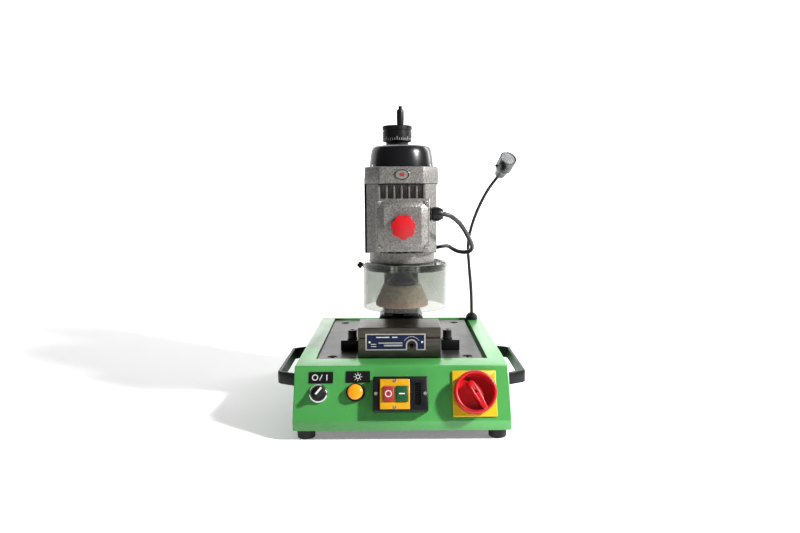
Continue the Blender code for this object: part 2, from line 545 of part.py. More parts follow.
turned("button_bezel", [(6.3, -20), (10.8, -20), (10.8, GAP), (13.2, GAP), (13.2, 4), (12.2, 5),
                        (11.2, 5), (11.2, 1.5), (6.3, 1.5)], at=on_panel(AMBER_AT), parent=panel, look=BLACK)
turned("amber_button", [(0, -18), (6, -18), (6, 6), (10.8, 6), (10.8, 9), (9.8, 10.5), (6, 11.8), (0, 12.3)],
       at=on_panel(AMBER_AT), parent=panel, look=AMBER)

sx, sy = SWITCH_AT[0], -SWITCH_AT[1]
sw, sh, sd = SWITCH_SIZE
switch = box("switch_box", (sx - sw / 2, sy - sh / 2, GAP), (sx + sw / 2, sy + sh / 2, sd),
             parent=panel, look=BLACK)
bevel(switch, 2.0, 2)
f, (fx, fy) = FRAME_SIZE / 2, (FRAME_AT[0], -FRAME_AT[1])
frame = box("switch_frame", (fx - f, fy - f, sd + GAP), (fx + f, fy + f, sd + 2.6), parent=panel, look=YELLOW)
bevel(frame, 0.8, 2)
grow = 0.4
for tag, (x, bw, bh) in BUTTONS.items():
    low, high = (x - bw / 2, fy - bh / 2), (x + bw / 2, fy + bh / 2)
    pocket = box("pocket_" + tag, (low[0] - grow, low[1] - grow, 5), (high[0] + grow, high[1] + grow, 30),
                 parent=panel, cutter=True)
    cut(switch, pocket)
    cut(frame, pocket)
    bevel(box(tag + "_button", (*low, 9.5), (*high, sd + 5.5), parent=panel,
              look=RED if tag == "red" else GREEN_KEY), 0.8, 2)
cut(switch, box("switch_recess", (sx + 20.2, sy - 15, sd - 3), (sx + 28.3, sy + 15, sd + 5),
                parent=panel, cutter=True))

iw, ih = ISOLATOR_SIZE
ix, iy = ISOLATOR_AT[0], -ISOLATOR_AT[1]
base = box("isolator_plate", (ix - iw / 2, iy - ih / 2, GAP), (ix + iw / 2, iy + ih / 2, 3.3),
           parent=panel, look=YELLOW)
bevel(base, 1.2, 2)
cut(base, disc("isolator_bore", 6.5, -5, 10, at=(ix, iy, 0), parent=panel, cutter=True))
turning = empty("isolator_axis", (ix, iy, 0), (0, 0, math.radians(-61)), parent=panel)
k = ISOLATOR_R
dial = turned("isolator_knob", [(0, -16), (6.2, -16), (6.2, 3.7), (k - 2, 3.7), (k, 5.5), (k, 20),
                                (k - 1.5, 22), (k - 4.5, 22), (k - 6.3, 10), (0, 10)],
              parent=turning, look=RED, steps=48)
grip = [(-16.5, -2.6), (-13, -4.6), (4, -5.2), (k - 3, -3.2),
        (k - 3, 3.2), (4, 5.2), (-13, 4.6), (-16.5, 2.6)]
join(dial, bevel(slab("isolator_bar", grip, 8, 23.5, parent=turning, cutter=True), 0.8, 2))
cut(dial,
    disc("padlock_hole", 2.8, -5, 14, at=(-21, 0.5, 0), parent=turning, steps=24, cutter=True),
    disc("screw_hole", 2.1, 16, 30, parent=turning, steps=24, cutter=True))

# ---------------------------------------------------------------- lamp
cut(housing, disc("lamp_hole", 5.0, 80, 110, at=(LAMP_X, LAMP_Y, 0), steps=24, cutter=True))
low, bore = HOUSE_TOP + GAP, NECK_R + 0.4
turned("lamp_base", [(bore, 88), (4.7, 88), (4.7, low), (11, low), (11, HOUSE_TOP + 7), (9, HOUSE_TOP + 9.5),
                     (6, HOUSE_TOP + 13), (bore, HOUSE_TOP + 13)], at=(LAMP_X, LAMP_Y, 0), look=BLACK_COAT)
pivot = Vector(NECK_ROUTE[-1])
neck = tube("gooseneck", smooth_route(NECK_ROUTE, 7.0), NECK_R, BLACK_COAT, offset=(LAMP_X, LAMP_Y, 105))
arc = [math.radians(angle) for angle in range(20, 180, 20)]
round_side = [(BALL_R * math.sin(a), -BALL_R * math.cos(a)) for a in arc]
join(neck, turned("neck_ball", [(0, -BALL_R), *round_side, (0, BALL_R)], at=pivot, steps=24, cutter=True))
aim = Vector(LAMP_AIM).normalized()
head_axis = empty("lamp_head_axis", pivot, aim.to_track_quat("Z", "Y").to_euler(), parent=ROOT)
L, R = HEAD_LENGTH, HEAD_R
lamp = turned("lamp_head", [(BALL_R + 2.4, -5), (9, -5), (10, -3), (11.5, 8), (R - 1, 14), (R, 16), (R, L),
                            (R - 1.6, L), (R - 1.6, L - 12), (0, L - 12), (0, 7), (BALL_R + 0.4, 7),
                            (BALL_R + 0.4, 0)], parent=head_axis, look=BLACK_COAT)
turned("lamp_lens", [(0, L - 5), (R - 2, L - 5), (R - 2, L - 2), (R - 4, L - 1), (0, L - 0.4)],
       parent=head_axis, look=LENS)
cut(lamp, disc("switch_hole", 2.4, 9.5, 20, at=(0, 0, 21), turn=OUTWARD, parent=head_axis, steps=16,
               cutter=True))
disc("lamp_switch", 2.1, 11.5, 18.5, at=(0, 0, 21), turn=OUTWARD, parent=head_axis, steps=16, look=BLACK)
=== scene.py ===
import math

import bmesh
import bpy
from mathutils import Matrix, Vector


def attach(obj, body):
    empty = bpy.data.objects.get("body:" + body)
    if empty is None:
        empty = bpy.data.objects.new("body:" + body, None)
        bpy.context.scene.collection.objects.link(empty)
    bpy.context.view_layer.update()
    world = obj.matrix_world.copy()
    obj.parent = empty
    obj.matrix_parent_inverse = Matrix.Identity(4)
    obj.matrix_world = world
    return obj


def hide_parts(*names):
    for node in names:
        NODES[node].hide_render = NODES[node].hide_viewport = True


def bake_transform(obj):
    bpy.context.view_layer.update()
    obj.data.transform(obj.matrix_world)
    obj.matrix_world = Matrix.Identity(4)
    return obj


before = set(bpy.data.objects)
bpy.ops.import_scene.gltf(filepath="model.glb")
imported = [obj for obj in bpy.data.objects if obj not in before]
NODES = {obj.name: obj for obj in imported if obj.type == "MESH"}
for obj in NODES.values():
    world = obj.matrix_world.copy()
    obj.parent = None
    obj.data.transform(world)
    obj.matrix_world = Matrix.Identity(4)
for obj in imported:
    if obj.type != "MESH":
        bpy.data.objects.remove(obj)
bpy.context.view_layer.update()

MM = 0.001
CENTRE = (14.0, 161.5)    # row-frame origin in the machine frame, in millimetres
TOP = 101.0               # top of the housing
CREASE = (-34.0, 29.5)    # Y and Z of the foot of the sloped panel


def at(x, y, z):
    """A point of the machine frame, in millimetres, as a point of the row frame in metres."""
    return Vector((x - CENTRE[0], y - CENTRE[1], z)) * MM


def spot(x, y, z, turn=None):
    made = Matrix.Translation(at(x, y, z))
    return made @ turn if turn else made


TURN_X = Matrix.Rotation(math.pi / 2, 4, "X")      # local Z to the front
TURN_LEFT = Matrix.Rotation(-math.pi / 2, 4, "Y")  # local Z to the left
TURN_RIGHT = Matrix.Rotation(math.pi / 2, 4, "Y")  # local Z to the right
SLOPE_UP = math.atan2(TOP - CREASE[1], -CREASE[0])
PANEL = spot(0, 0, TOP) @ Matrix.Rotation(SLOPE_UP, 4, "X")
MOTOR = spot(1.5, 112, 0)
GUARD = spot(6.5, 112, 0)
AIM = Vector((0.243, -0.733, 0.635)).normalized()
NECK_END = (187.5, 328.5, 382)
HEAD = spot(*NECK_END) @ AIM.to_track_quat("Z", "Y").to_matrix().to_4x4()


def on_panel(across, down, lift=0.0, turn=0.0):
    turned_by = Matrix.Rotation(math.radians(turn), 4, "Z")
    return PANEL @ Matrix.Translation(Vector((across, -down, lift)) * MM) @ turned_by


# ---------------------------------------------------------------- camera
camera = bpy.data.objects.new("camera", bpy.data.cameras.new("camera"))
bpy.context.scene.collection.objects.link(camera)
camera.data.lens = 31.05
camera.data.sensor_width = 36
camera.data.clip_start = 0.05
camera.matrix_world = (spot(-1.5, -976.2, 359.0) @ Matrix.Rotation(math.radians(90 - 6.65), 4, "X")
                       @ Matrix.Rotation(math.radians(-0.32), 4, "Z"))
bpy.context.scene.camera = camera
bpy.context.scene.view_settings.view_transform = "Standard"


# ---------------------------------------------------------------- making pieces
def smooth_route(points, step):
    """Points about step apart along a smooth curve through the route points."""
    pts = [Vector(p) for p in points]
    ends = [pts[0] * 2 - pts[1]] + pts + [pts[-1] * 2 - pts[-2]]
    fine = []
    for a, b, c, d in zip(ends, ends[1:], ends[2:], ends[3:]):
        for i in range(24):
            t = i / 24
            fine.append(0.5 * (2 * b + (c - a) * t + (2 * a - 5 * b + 4 * c - d) * t * t
                               + (3 * b - a - 3 * c + d) * t ** 3))
    fine.append(pts[-1])
    out, run = [fine[0]], 0.0
    for one, two in zip(fine, fine[1:]):
        run += (two - one).length
        if run >= step:
            out.append(two)
            run = 0.0
    if (out[-1] - fine[-1]).length < step / 2:
        out.pop()
    return out + [fine[-1]]


def finish_mesh(name, bm, angle=35):
    mesh = bpy.data.meshes.new(name)
    bmesh.ops.recalc_face_normals(bm, faces=bm.faces)
    bm.to_mesh(mesh)
    bm.free()
    mesh.polygons.foreach_set("use_smooth", [True] * len(mesh.polygons))
    mesh.set_sharp_from_angle(angle=math.radians(angle))
    made = bpy.data.objects.new(name, mesh)
    bpy.context.scene.collection.objects.link(made)
    return made


def edges(obj, width, segments=2, angle=40):
    step = obj.modifiers.new("edges", "BEVEL")
    step.width = width * MM
    step.segments = segments
    step.limit_method = "ANGLE"
    step.angle_limit = math.radians(angle)
    step.harden_normals = True
    return obj


def turned(name, profile, steps=96, round_to=0.3):
    bm = bmesh.new()
    rings = []
    for radius, height in profile:
        if radius < 1e-6:
            rings.append([bm.verts.new((0, 0, height * MM))])
            continue
        circle = regular(steps, radius)
        rings.append([bm.verts.new((x * MM, y * MM, height * MM)) for x, y in circle])
    for one, two in zip(rings, rings[1:] + rings[:1]):
        if len(one) == 1 and len(two) == 1:
            continue
        for i in range(steps):
            j = (i + 1) % steps
            if len(one) == 1:
                bm.faces.new((one[0], two[i], two[j]))
            elif len(two) == 1:
                bm.faces.new((one[i], two[0], one[j]))
            else:
                bm.faces.new((one[i], two[i], two[j], one[j]))
    made = finish_mesh(name, bm)
    return edges(made, round_to, 2, 30) if round_to else made


def disc(name, radius, low, high, steps=64, round_to=0.0):
    return turned(name, [(0, low), (radius, low), (radius, high), (0, high)], steps, round_to)


def box(name, low, high, round_to=0.0, segments=2):
    low, high = Vector(low), Vector(high)
    bm = bmesh.new()
    bmesh.ops.create_cube(bm, size=1.0, matrix=Matrix.Translation((low + high) / 2 * MM)
                          @ Matrix.Diagonal((high - low) * MM).to_4x4())
    made = finish_mesh(name, bm)
    return edges(made, round_to, segments) if round_to else made


def slab(name, outline, low, high, round_to=0.0, segments=2):
    bm = bmesh.new()
    bottom = [bm.verts.new((x * MM, y * MM, low * MM)) for x, y in outline]
    top = [bm.verts.new((x * MM, y * MM, high * MM)) for x, y in outline]
    bm.faces.new(bottom[::-1])
    bm.faces.new(top)
    for i in range(len(outline)):
        j = (i + 1) % len(outline)
        bm.faces.new((bottom[i], bottom[j], top[j], top[i]))
    made = finish_mesh(name, bm)
    return edges(made, round_to, segments, 50) if round_to else made


def arc(radius, start, end, steps=24, centre=(0, 0)):
    turns = [math.radians(start + (end - start) * i / steps) for i in range(steps + 1)]
    return [(centre[0] + radius * math.cos(a), centre[1] + radius * math.sin(a)) for a in turns]


def regular(count, radius):
    return arc(radius, 0, 360 - 360 / count, count - 1)


def cut_square(half, corner):
    h, c = half, corner
    return [(-h + c, -h), (h - c, -h), (h, -h + c), (h, h - c),
            (h - c, h), (-h + c, h), (-h, h - c), (-h, -h + c)]


def rounded(width, height, corner, steps=6):
    """A rectangle with round corners, about the origin."""
    x, y = width / 2 - corner, height / 2 - corner
    return (arc(corner, 0, 90, steps, (x, y)) + arc(corner, 90, 180, steps, (-x, y))
            + arc(corner, 180, 270, steps, (-x, -y)) + arc(corner, 270, 360, steps, (x, -y)))


def cut(obj, *cutters, operation="DIFFERENCE"):
    """Cuts or joins other pieces into obj, and takes them away."""
    for cutter in cutters:
        step = obj.modifiers.new("cut", "BOOLEAN")
        step.operation = operation
        step.solver = "EXACT"
        step.object = cutter
    bpy.context.view_layer.update()
    mesh = bpy.data.meshes.new_from_object(obj.evaluated_get(bpy.context.evaluated_depsgraph_get()))
    obj.modifiers.clear()
    obj.data = mesh
    mesh.polygons.foreach_set("use_smooth", [True] * len(mesh.polygons))
    mesh.set_sharp_from_angle(angle=math.radians(35))
    for cutter in cutters:
        bpy.data.objects.remove(cutter)
    return obj


def tube(name, points, radius, sides=16):
    curve = bpy.data.curves.new(name, "CURVE")
    curve.dimensions = "3D"
    curve.bevel_depth = radius * MM
    curve.bevel_resolution = sides // 4
    curve.use_fill_caps = True
    line = curve.splines.new("POLY")
    line.points.add(len(points) - 1)
    for one, point in zip(line.points, points):
        one.co = (*at(*point), 1.0)
    maker = bpy.data.objects.new(name + "_line", curve)
    mesh = bpy.data.meshes.new_from_object(maker)
    bpy.data.objects.remove(maker)
    bm = bmesh.new()
    bm.from_mesh(mesh)
    bmesh.ops.remove_doubles(bm, verts=bm.verts, dist=1e-6)
    return finish_mesh(name, bm, 60)


def fit(obj, body, look, place=None, stands_for=()):
    """Puts a piece in place with its material, on the body that carries it."""
    if place:
        obj.data.transform(place)
    obj.data.materials.clear()
    obj.data.materials.append(look)
    if stands_for:
        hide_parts(*([stands_for] if isinstance(stands_for, str) else stands_for))
    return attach(obj, body)


def skin(node, body, look, width=0.0, segments=3):
    """The same shape as a CAD node, with welded faces, smooth shading and rounded edges."""
    bm = bmesh.new()
    bm.from_mesh(NODES[node].data)
    bmesh.ops.remove_doubles(bm, verts=bm.verts, dist=2e-5)
    bmesh.ops.dissolve_limit(bm, angle_limit=math.radians(1), verts=bm.verts, edges=bm.edges)
    made = finish_mesh("shown_" + node, bm, 30)
    if width:
        edges(made, width, segments, 30)
    return fit(made, body, look, stands_for=node)


# ---------------------------------------------------------------- materials
def shade(name, colour, rough, metal=0.0, vary=0.08, scale=40.0, rough_vary=0.08, bump=0.08, grain=900.0,
          coat=0.0, stretch=(1, 1, 1), second=None, **extra):
    """A surface whose colour, roughness and relief vary a little, from noise in the object's own space."""
    look = bpy.data.materials.new(name)
    look.use_nodes = True
    nodes, links = look.node_tree.nodes, look.node_tree.links
    shader = nodes["Principled BSDF"]
    where = nodes.new("ShaderNodeTexCoord")
    spread = nodes.new("ShaderNodeMapping")
    spread.inputs["Scale"].default_value = stretch
    links.new(where.outputs["Object"], spread.inputs["Vector"])

    def noise(size, detail=3.0):
        made = nodes.new("ShaderNodeTexNoise")
        made.inputs["Scale"].default_value = size
        made.inputs["Detail"].default_value = detail
        links.new(spread.outputs["Vector"], made.inputs["Vector"])
        return made.outputs["Fac"]

    ramp = nodes.new("ShaderNodeValToRGB")
    ramp.color_ramp.elements[0].position = 0.3
    ramp.color_ramp.elements[1].position = 0.7
    ramp.color_ramp.elements[0].color = (*[c * (1 - vary) for c in colour], 1)
    ramp.color_ramp.elements[1].color = (*(second or [min(1, c * (1 + vary)) for c in colour]), 1)
    links.new(noise(scale), ramp.inputs["Fac"])
    links.new(ramp.outputs["Color"], shader.inputs["Base Color"])
    span = nodes.new("ShaderNodeMapRange")
    span.inputs["To Min"].default_value = max(0.02, rough - rough_vary)
    span.inputs["To Max"].default_value = min(1.0, rough + rough_vary)
    links.new(noise(scale * 2.3), span.inputs["Value"])
    links.new(span.outputs["Result"], shader.inputs["Roughness"])
    if bump:
        relief = nodes.new("ShaderNodeBump")
        relief.inputs["Strength"].default_value = bump
        relief.inputs["Distance"].default_value = 0.0004
        links.new(noise(grain, 2.0), relief.inputs["Height"])
        links.new(relief.outputs["Normal"], shader.inputs["Normal"])
    shader.inputs["Metallic"].default_value = metal
    shader.inputs["Coat Weight"].default_value = coat
    shader.inputs["Coat Roughness"].default_value = 0.15
    for key, value in extra.items():
        shader.inputs[key.replace("_", " ")].default_value = value
    return look


GREEN = shade("green_coat", (0.060, 0.30, 0.066), 0.34, vary=0.06, scale=12, bump=0.10, grain=700, coat=0.3)
STEEL = shade("ground_steel", (0.034, 0.033, 0.031), 0.38, 0.35, vary=0.16, scale=16, bump=0.06, grain=500)
RAIL = shade("rail_steel", (0.30, 0.295, 0.29), 0.30, 1.0, vary=0.14, scale=22, bump=0.10, grain=500,
             stretch=(6, 1, 1))
DARK_STEEL = shade("dark_steel", (0.075, 0.068, 0.058), 0.36, 1.0, vary=0.25, scale=30, rough_vary=0.10,
                   bump=0.14, grain=500, stretch=(1, 5, 8))
BLACK_COAT = shade("black_coat", (0.006, 0.006, 0.007), 0.38, vary=0.2, scale=30, bump=0.14, grain=1100,
                   Specular_IOR_Level=0.2)
BLACK_OXIDE = shade("black_oxide", (0.007, 0.007, 0.007), 0.30, vary=0.2, scale=60, bump=0.05,
                    Specular_IOR_Level=0.25)
RUBBER = shade("rubber", (0.012, 0.012, 0.012), 0.75, vary=0.15, scale=60, bump=0.2, grain=1500)
BLACK = shade("black_plastic", (0.007, 0.007, 0.008), 0.36, vary=0.15, scale=50, bump=0.08, grain=1600,
              Specular_IOR_Level=0.25)
GLOSS = shade("gloss_black", (0.006, 0.006, 0.007), 0.24, vary=0.15, scale=40, rough_vary=0.04, bump=0.03,
              grain=500, Specular_IOR_Level=0.35)
YELLOW = shade("yellow_plastic", (0.66, 0.33, 0.006), 0.36, vary=0.05, scale=40, bump=0.05, grain=1500)
YELLOW_PLATE = shade("yellow_plate", (0.66, 0.42, 0.006), 0.38, vary=0.05, scale=40, bump=0.05, grain=1500)
RED = shade("red_plastic", (0.46, 0.002, 0.007), 0.34, vary=0.08, scale=50, bump=0.05, grain=1400)
GUNMETAL = shade("gunmetal", (0.10, 0.10, 0.10), 0.28, 0.85, vary=0.5, scale=70, rough_vary=0.1, bump=0.05)
RED_KEY = shade("red_key", (0.30, 0.028, 0.028), 0.34, vary=0.08, scale=50, bump=0.04, grain=1400)
GREEN_KEY = shade("green_key", (0.010, 0.075, 0.025), 0.34, vary=0.08, scale=50, bump=0.04, grain=1400)
# painted glow: the weak orange emission stands in for the key light brightening the amber button
AMBER = shade("amber_lens", (0.95, 0.30, 0.006), 0.22, vary=0.06, scale=60, bump=0.04, grain=900, coat=0.3,
              Emission_Color=(1.0, 0.30, 0.01, 1), Emission_Strength=0.15)
CHROME = shade("chrome", (0.62, 0.62, 0.63), 0.16, 1.0, vary=0.06, scale=60, rough_vary=0.05, bump=0.02)
SILVER = shade("silver_paint", (0.22, 0.21, 0.20), 0.40, 0.45, vary=0.45, scale=420, rough_vary=0.10,
               bump=0.9, grain=420)
BLUE = shade("blue_print", (0.002, 0.008, 0.045), 0.35, vary=0.25, scale=30, bump=0.03,
             Specular_IOR_Level=0.2)
PALE_METAL = shade("pale_metal", (0.42, 0.41, 0.38), 0.34, 0.8, vary=0.08, scale=80, bump=0.05)
WHITE = shade("white_print", (0.70, 0.70, 0.68), 0.45, vary=0.04, scale=90, bump=0.02)
CREAM = shade("wheel_abrasive", (0.56, 0.43, 0.31), 0.9, vary=0.16, scale=160, bump=0.8, grain=1400,
              second=(0.70, 0.58, 0.45))
PINK = shade("wheel_rim", (0.60, 0.34, 0.24), 0.9, vary=0.16, scale=160, bump=0.8, grain=1400,
             second=(0.68, 0.44, 0.33))
CLEAR = shade("clear_plastic", (0.50, 0.52, 0.48), 0.08, vary=0.06, scale=30, rough_vary=0.05, bump=0.10,
              grain=90, Transmission_Weight=1.0, IOR=1.45)
BRONZE = shade("bronze", (0.42, 0.24, 0.09), 0.4, 1.0, vary=0.12)
MAGNET = shade("magnet", (0.10, 0.10, 0.11), 0.6, 0.5, vary=0.15)
LENS = shade("lamp_lens", (0.80, 0.82, 0.84), 0.10, vary=0.05, scale=60, bump=0.05, Transmission_Weight=0.8,
             IOR=1.45)
NECK = shade("gooseneck_steel", (0.030, 0.030, 0.032), 0.30, 0.7, vary=0.2, scale=200, bump=0.05)
LEAD = shade("lead_jacket", (0.008, 0.008, 0.008), 0.42, vary=0.2, scale=80, bump=0.10, grain=1500)

# ---------------------------------------------------------------- motor lead
LEAD_ROUTE = [
    (44, 36, 318), (53, 36, 318), (62, 36.1, 318), (71.6, 39.3, 315.6), (80.3, 46, 310),
    (88.6, 56, 302.6), (97.4, 70, 290.7), (105, 84, 278.2), (110.5, 98, 268.5), (112.5, 110, 261.5),
    (110.5, 122, 255.8), (103.7, 134, 252.5), (94.5, 150, 252.2), (87, 168, 254.5), (83, 182, 256.5),
    (80.4, 196, 257), (77, 209, 256.2), (72.3, 221.6, 254.4), (67.6, 229.5, 252.8), (60.9, 235.7, 251.4),
    (52.6, 239.6, 250.3), (43.6, 241, 250), (34, 241, 250),
]
lead_points = smooth_route(LEAD_ROUTE, 4.0)
lead = tube("lead_jacket", lead_points, 3.48, 24)
lead.data.materials.append(LEAD)
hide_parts("motor_lead")
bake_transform(lead)

# ---------------------------------------------------------------- housing and base
skin("housing", "base", GREEN, 1.2, 3)
skin("bottom_cover", "base", STEEL, 0.2)
FOOT = [(0, 0), (11.7, 0), (12.8, 1.2), (13.2, 13.2), (11.7, 14.7), (0, 14.7)]
for tag, x, y in (("fl", -138, -13), ("fr", 138, -13), ("rl", -138, 340), ("rr", 138, 340)):
    fit(turned("shown_foot_" + tag, FOOT), "base", RUBBER, spot(x, y, 0), "foot_" + tag)
for tag in ("left", "right"):
    skin("handle_" + tag, "base", BLACK_COAT, 0.5)

BOLT_MID, BOLT_HALF_SPAN = (-2.5, 197), (104, 132)
skin("base_plate", "base", STEEL, 0.4)
for i, (x, y) in enumerate([(-1, -1), (1, -1), (-1, 1), (1, 1)]):
    bolt = turned(f"plate_bolt_{i}", [(0, 90.2), (6.4, 90.2), (6.4, 96.2), (5.8, 96.8), (0, 96.8)], 48)
    cut(bolt, slab("hex", regular(6, 3.5), 93, 99))
    where = spot(BOLT_MID[0] + x * BOLT_HALF_SPAN[0], BOLT_MID[1] + y * BOLT_HALF_SPAN[1], 0)
    fit(bolt, "base", BLACK_OXIDE, where)

# ---------------------------------------------------------------- chuck and clamps
skin("chuck_base", "base", DARK_STEEL, 0.5)
skin("chuck_top", "base", DARK_STEEL, 0.6)
skin("magnet_pack", "magnets", MAGNET)

FRONT = spot(0, 44, 0, TURN_X)   # local X to the right, local Y up, local Z to the front
KEY = (15.5, 121.0)              # middle of the key hole, in FRONT


def label(left, right, low, high, notch):
    """A label's outline, with a round notch over the key hole."""
    return ([(left, low)] + [(KEY[0] - notch, low)] + arc(notch, 180, 0, 28, KEY) + [(KEY[0] + notch, low)]
            + [(right, low), (right, high), (left, high)])


fit(slab("label_frame", label(-54.3, 36.3, 112.9, 138.4, 6.9), 0.05, 0.9, 0.2), "base", PALE_METAL, FRONT)
fit(slab("label_print", label(-52.2, 34.4, 114.8, 136.6, 8.8), 0.8, 1.1), "base", BLUE, FRONT)
for i, x in enumerate((-48.1, 31.1)):
    where = FRONT @ Matrix.Translation(Vector((x, 125.6, 0)) * MM)
    fit(disc(f"label_rivet_{i}", 1.6, 1.0, 1.9, 32, 0.4), "base", WHITE, where)
LABEL_BARS = [          # left, right, low and high edge, and the look
    (-34.5, 1.5, 123.4, 125.0, PALE_METAL), (-26.5, 1.5, 119.2, 121.6, PALE_METAL),
    (-46, -38, 118.6, 119.4, WHITE), (-46, -38, 122.0, 122.8, WHITE),
    (-38, -18, 132.3, 133.6, WHITE), (-14, -6, 132.3, 133.6, WHITE),
]
for i, (x0, x1, z0, z1, look) in enumerate(LABEL_BARS):
    fit(box(f"label_bar_{i}", (x0, z0, 1.05), (x1, z1, 1.25)), "base", look, FRONT)
sweep = arc(13.2, 30, 150, 24, KEY) + arc(12.5, 150, 30, 24, KEY)
fit(slab("label_sweep", sweep, 1.05, 1.25), "base", PALE_METAL, FRONT)

skin("chuck_cam", "cam", BLACK_OXIDE, 0.3)

for tag, mid in (("left", -78.8), ("right", 74.0)):
    skin("clamp_" + tag, "base", BLACK_OXIDE, 0.4)
    screw = turned("shown_clamp_screw_" + tag,
                   [(0, 99), (4.0, 99), (4.0, 114.8), (8.2, 114.8), (8.2, 117), (7.2, 117.3), (7.2, 128.7),
                    (6.4, 129.5), (0, 129.5)], 64, 0.25)
    cut(screw, slab("socket", regular(6, 3.4), 123, 140))
    fit(screw, "base", BLACK_OXIDE, spot(mid, 116, 0), "clamp_screw_" + tag)

# ---------------------------------------------------------------- column and feed
skin("column_base", "base", BLACK_COAT, 0.8)
skin("column", "base", BLACK_COAT, 0.5)
skin("slide_rail", "base", RAIL, 0.3)
skin("top_bearing", "base", BLACK_COAT, 0.4)
skin("feed_nut", "carriage", BRONZE)
skin("leadscrew", "handwheel", RAIL)
skin("carriage_plate", "carriage", BLACK_COAT, 0.5)

lead_gland = turned("shown_lead_gland", [(4.1, -14), (5.9, -14), (5.9, 0.3), (9.5, 0.3), (9.5, 6), (8.2, 7),
                                         (8.2, 12), (6.5, 14), (4.1, 14)], 48)
fit(lead_gland, "base", BLACK, spot(30.5, 241, 250, TURN_RIGHT), "lead_gland")

DIAL = (-5, 197, 0)
r, z0, z1 = 24.5, 431.3, 459.0
dial = turned("shown_feed_dial", [(4.2, z0), (18, z0), (r - 1.5, z0 + 1), (r, z0 + 2.5), (r, z0 + 18),
                                  (r - 1.2, z0 + 18.6), (r - 1.2, z0 + 20), (r, z0 + 20.6), (r, z1 - 1),
                                  (r - 1.2, z1), (0, z1), (0, 452.3), (4.2, 452.3)], 128, 0.35)
fit(dial, "handwheel", BLACK_COAT, spot(*DIAL), "feed_dial")
MARKS, RIDGES = 40, 60
for i in range(MARKS):
    length = 6.0 if i % 5 == 0 else 3.5
    turn = Matrix.Rotation(2 * math.pi * i / MARKS, 4, "Z")
    mark = box(f"dial_mark_{i}", (-0.25, -r - 0.04, 434.5), (0.25, -r + 0.3, 434.5 + length))
    fit(mark, "handwheel", WHITE, spot(*DIAL, turn))
for i in range(RIDGES):
    turn = Matrix.Rotation(2 * math.pi * i / RIDGES, 4, "Z")
    ridge = box(f"dial_grip_{i}", (-0.5, -r - 0.25, 452.4), (0.5, -r + 0.4, 457.6), 0.2, 1)
    fit(ridge, "handwheel", BLACK_COAT, spot(*DIAL, turn))
grip = turned("shown_crank_grip", [(0, 459.3), (5.2, 459.3), (5.8, 461), (6.2, 468), (6.2, 480),
                                   (5.6, 483.5), (4.6, 484.5), (3.2, 484.6), (3.2, 489.2), (2.6, 490),
                                   (0, 490)], 64)
fit(grip, "crank", BLACK, spot(0.3, 183, 0), "crank_grip")

# ---------------------------------------------------------------- motor
skin("motor_body", "carriage", SILVER, 0.5, 2)
skin("end_shield", "carriage", SILVER, 0.6)
skin("rotor_shaft", "spindle", RAIL)
skin("cooling_fan", "spindle", BLACK)
r, z0, z1 = 50.0, 388.3, 421.0
cowl = turned("shown_fan_cowl", [(r - 2, z0), (r, z0), (r - 0.4, z0 + 5), (r - 1.5, z0 + 14),
                                 (r - 2.6, z1 - 12), (r - 3.8, z1 - 6.5), (r - 6, z1 - 2.5),
                                 (r - 10, z1 - 0.4), (r - 14, z1), (20, z1), (20, z1 - 2),
                                 (r - 11, z1 - 2), (r - 8, z1 - 4), (r - 5.5, z1 - 9),
                                 (r - 3.5, z0 + 14)], 128, 0.5)
fit(cowl, "carriage", GLOSS, MOTOR, "fan_cowl")
for i in range(5):
    near = 3.5 + 4 * i
    ring = turned(f"cowl_grille_{i}", [(near, z1 - 1.6), (near + 1, z1 - 1.6), (near + 1, z1 - 0.6),
                                       (near, z1 - 0.6)], 64, 0.2)
    fit(ring, "carriage", GLOSS, MOTOR)
for i in range(4):
    bar = box(f"cowl_bar_{i}", (-20.6, -0.7, z1 - 1.9), (20.6, 0.7, z1 - 1.1))
    fit(bar, "carriage", GLOSS, MOTOR @ Matrix.Rotation(math.pi * i / 4, 4, "Z"))

r, z0, z1 = 51.5, 240.0, 258.7
flange = turned("shown_motor_flange", [(13, z0), (r - 2, z0), (r, z0 + 2), (r, z1 - 1), (r - 1, z1),
                                       (13, z1)], 128, 0.4)
fit(flange, "carriage", SILVER, MOTOR, "motor_flange")
for sx in (-1, 1):
    for sy in (-1, 1):
        head = slab(f"shield_bolt_{sx}_{sy}", regular(6, 4.0), 388.0, 391.0, 0.4)
        where = MOTOR @ Matrix.Translation(Vector((40.5 * sx, 40.5 * sy, 0)) * MM)
        fit(head, "carriage", CHROME, where)
gasket = slab("shield_gasket", [(x * 0.985, y * 0.985) for x, y in cut_square(56.0, 23.0)], 361.0, 363.0)
fit(gasket, "carriage", BLACK_OXIDE, MOTOR)
badge = spot(2.2, 112 - 56, 376, TURN_X) @ Matrix.Diagonal((1.0, 0.70, 1.0, 1.0))
fit(disc("badge_plate", 11.5, -0.2, 1.0, 64, 0.3), "carriage", PALE_METAL, badge)
rim = turned("badge_rim", [(9.4, 0.9), (10.8, 0.9), (10.8, 1.3), (9.4, 1.3)], 64, 0.0)
fit(rim, "carriage", BLACK_OXIDE, badge)
fit(disc("badge_dot", 4.0, 0.9, 1.2, 48), "carriage", RED_KEY, badge)

